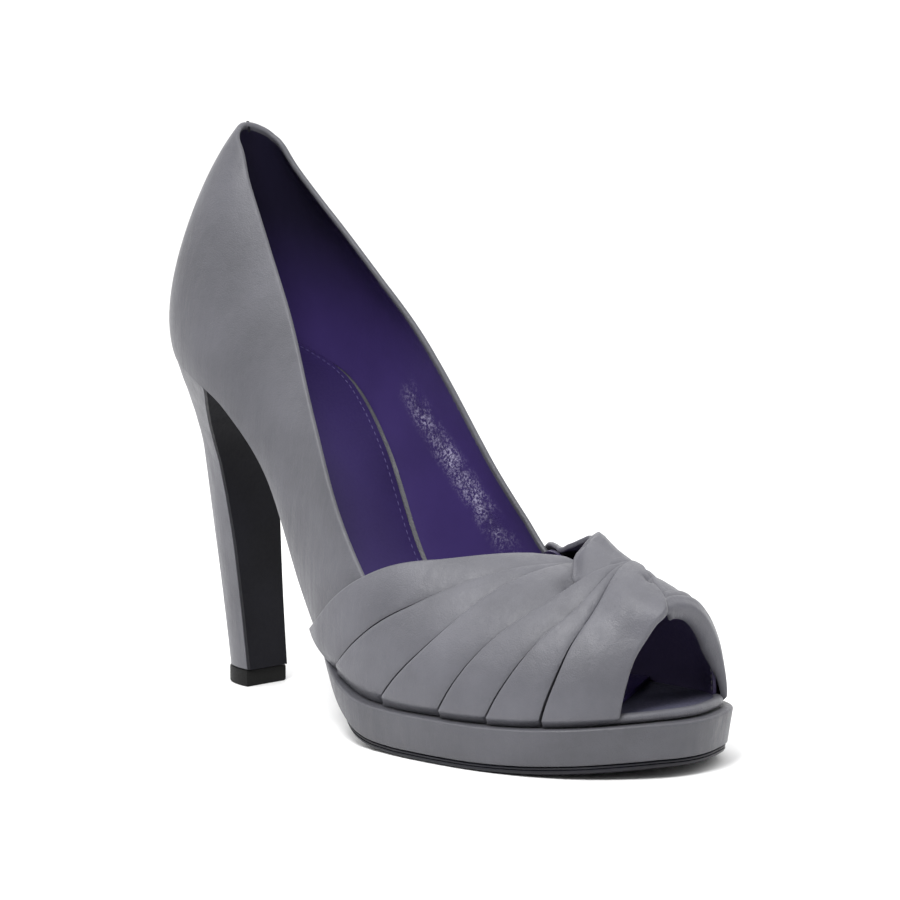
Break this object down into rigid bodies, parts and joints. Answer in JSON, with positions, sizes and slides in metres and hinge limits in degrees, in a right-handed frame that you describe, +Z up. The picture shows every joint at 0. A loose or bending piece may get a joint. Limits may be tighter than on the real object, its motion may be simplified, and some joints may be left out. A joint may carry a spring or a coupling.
{
  "type": "peep toe pump",
  "caption": "High-heeled platform pump for the right foot, with an open toe, a low-cut collar and a pleated vamp gathered in a twisted knot.",
  "frame": {"origin": "centre of the bounding box's bottom face, on the floor that the shoe stands on", "axes": "+X from heel to toe, +Y to the inner (medial) side of the right foot, +Z up"},
  "size_m": [0.2184, 0.0826, 0.1755],
  "materials": {
    "grey_satin": "satin weave with a soft directional sheen",
    "purple_leather": "glossy smooth lining leather",
    "black_leather": "smooth sole leather, half matt",
    "black_rubber": "hard rubber, half matt"
  },
  "bodies": {
    "root": {"upper": "grey_satin", "vamp_knot": "grey_satin", "platform": "grey_satin", "insole": "grey_satin", "heel": "grey_satin", "sock": "purple_leather", "outsole": "black_leather", "heel_breast_cover": "black_leather", "top_piece": "black_rubber"}
  },
  "joints": []
}
